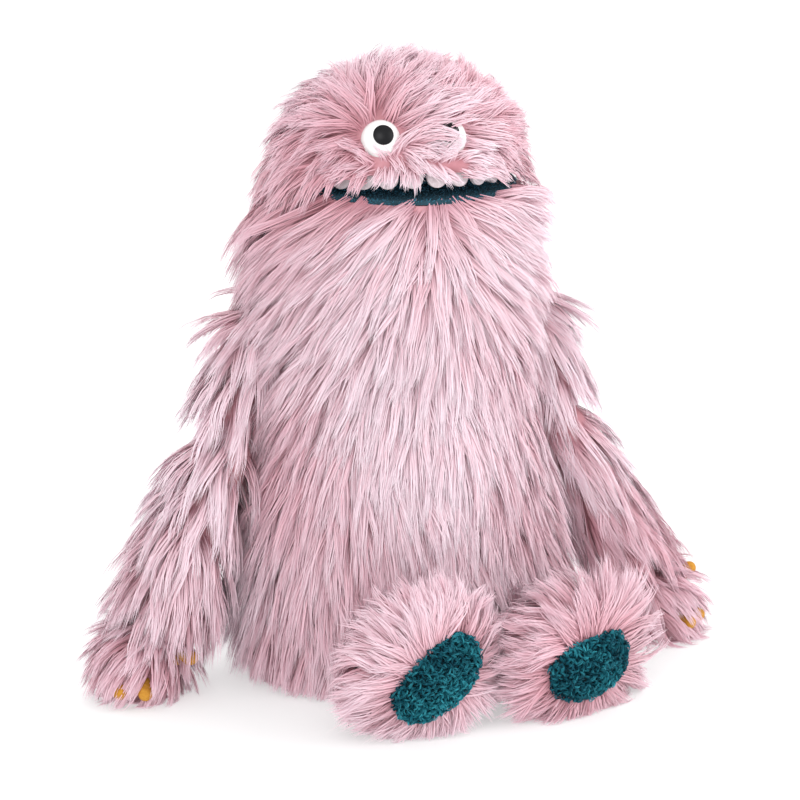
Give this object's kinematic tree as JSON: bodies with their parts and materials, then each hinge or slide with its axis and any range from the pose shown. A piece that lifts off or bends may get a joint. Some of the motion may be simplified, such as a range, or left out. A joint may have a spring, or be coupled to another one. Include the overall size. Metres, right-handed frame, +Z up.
{
  "type": "moving mouth hand puppet",
  "caption": "Sitting long-haired monster hand puppet: the hand enters at the back and opens the mouth; arms, legs and feet swing.",
  "frame": {"origin": "centre of the flat seat, on the ground it sits on", "axes": "+Z up; the puppet faces -Y; its own left hand is on +X"},
  "size_m": [0.4479, 0.2673, 0.422],
  "materials": {
    "pink_fur": "long-pile fur",
    "wadding": "loose wadding",
    "lining_cloth": "plain weave",
    "teal_plush": "short plush",
    "teal_curl": "curly boucle",
    "mouth_board": "stiffened felt board",
    "white_felt": "felt",
    "mustard_felt": "felt",
    "eye_white": "gloss",
    "eye_black": "gloss"
  },
  "bodies": {
    "torso": {"torso_front_skin": "pink_fur", "torso_back_skin": "pink_fur", "seat_panel": "pink_fur", "torso_stuffing": "wadding", "pellet_bag": "lining_cloth", "hand_sleeve": "lining_cloth", "sleeve_binding": "lining_cloth", "throat_skin": "pink_fur", "nape_skin": "pink_fur", "shoulder_gusset_l": "pink_fur", "shoulder_gusset_r": "pink_fur"},
    "lower_jaw": {"lower_jaw_board": "mouth_board", "lower_mouth_lining": "teal_plush", "chin_skin": "pink_fur", "thumb_pocket": "lining_cloth"},
    "head": {"head_skin": "pink_fur", "head_stuffing": "wadding", "upper_jaw_board": "mouth_board", "upper_mouth_lining": "teal_plush", "finger_pocket": "lining_cloth", "hinge_tape": "lining_cloth", "tooth_1": "white_felt", "tooth_2": "white_felt", "tooth_3": "white_felt", "tooth_4": "white_felt", "tooth_5": "white_felt", "tooth_6": "white_felt", "tooth_7": "white_felt", "tooth_8": "white_felt", "eye_white_l": "eye_white", "eye_white_r": "eye_white", "pupil_l": "eye_black", "pupil_r": "eye_black"},
    "shoulder_l": {"shoulder_tab_l": "pink_fur"},
    "upper_arm_l": {"upper_arm_skin_l": "pink_fur", "upper_arm_stuffing_l": "wadding"},
    "forearm_l": {"forearm_skin_l": "pink_fur", "forearm_stuffing_l": "wadding", "hand_l": "pink_fur", "thumb_tip_l": "mustard_felt", "inner_tip_l": "mustard_felt", "outer_tip_l": "mustard_felt"},
    "shin_l": {"leg_l": "pink_fur"},
    "foot_l": {"foot_skin_l": "pink_fur", "foot_filling_l": "wadding", "sole_patch_l": "teal_curl"},
    "shoulder_r": {"shoulder_tab_r": "pink_fur"},
    "upper_arm_r": {"upper_arm_skin_r": "pink_fur", "upper_arm_stuffing_r": "wadding"},
    "forearm_r": {"forearm_skin_r": "pink_fur", "forearm_stuffing_r": "wadding", "hand_r": "pink_fur", "thumb_tip_r": "mustard_felt", "inner_tip_r": "mustard_felt", "outer_tip_r": "mustard_felt"},
    "shin_r": {"leg_r": "pink_fur"},
    "foot_r": {"foot_skin_r": "pink_fur", "foot_filling_r": "wadding", "sole_patch_r": "teal_curl"}
  },
  "joints": [
    {"name": "jaw_hinge", "type": "hinge", "parent": "torso", "child": "lower_jaw", "pos_m": [0, 0.028, 0.349], "axis": [1, 0, 0], "range_deg": [0, 18], "deforming": ["throat_skin"]},
    {"name": "head_hinge", "type": "hinge", "parent": "torso", "child": "head", "pos_m": [0, 0.028, 0.349], "axis": [-1, 0, 0], "range_deg": [0, 35], "deforming": ["nape_skin"]},
    {"name": "shoulder_lift_l", "type": "hinge", "parent": "torso", "child": "shoulder_l", "pos_m": [0.093, 0.004, 0.266], "axis": [0, -1, 0], "range_deg": [-4, 55]},
    {"name": "shoulder_swing_l", "type": "hinge", "parent": "shoulder_l", "child": "upper_arm_l", "pos_m": [0.093, 0.004, 0.266], "axis": [-1, 0, 0], "range_deg": [-30, 75]},
    {"name": "elbow_l", "type": "hinge", "parent": "upper_arm_l", "child": "forearm_l", "pos_m": [0.1258, 0.004, 0.1587], "axis": [-0.8962, 0, -0.4437], "range_deg": [-10, 60]},
    {"name": "hip_l", "type": "hinge", "parent": "torso", "child": "shin_l", "pos_m": [0.0555, -0.1015, 0.03612], "axis": [-0.9397, -0.342, 0], "range_deg": [-50, 50]},
    {"name": "foot_twist_l", "type": "hinge", "parent": "shin_l", "child": "foot_l", "pos_m": [0.06918, -0.13909, 0.03612], "axis": [0.342, -0.9397, 0], "range_deg": [-35, 35]},
    {"name": "shoulder_lift_r", "type": "hinge", "parent": "torso", "child": "shoulder_r", "pos_m": [-0.093, 0.004, 0.266], "axis": [0, 1, 0], "range_deg": [-4, 55]},
    {"name": "shoulder_swing_r", "type": "hinge", "parent": "shoulder_r", "child": "upper_arm_r", "pos_m": [-0.093, 0.004, 0.266], "axis": [-1, 0, 0], "range_deg": [-30, 75]},
    {"name": "elbow_r", "type": "hinge", "parent": "upper_arm_r", "child": "forearm_r", "pos_m": [-0.1258, 0.004, 0.1587], "axis": [-0.8962, 0, 0.4437], "range_deg": [-10, 60]},
    {"name": "hip_r", "type": "hinge", "parent": "torso", "child": "shin_r", "pos_m": [-0.0425, -0.106, 0.04323], "axis": [-0.9925, -0.1219, 0], "range_deg": [-50, 50]},
    {"name": "foot_twist_r", "type": "hinge", "parent": "shin_r", "child": "foot_r", "pos_m": [-0.03762, -0.1457, 0.04323], "axis": [0.1219, -0.9925, 0], "range_deg": [-35, 35]}
  ]
}
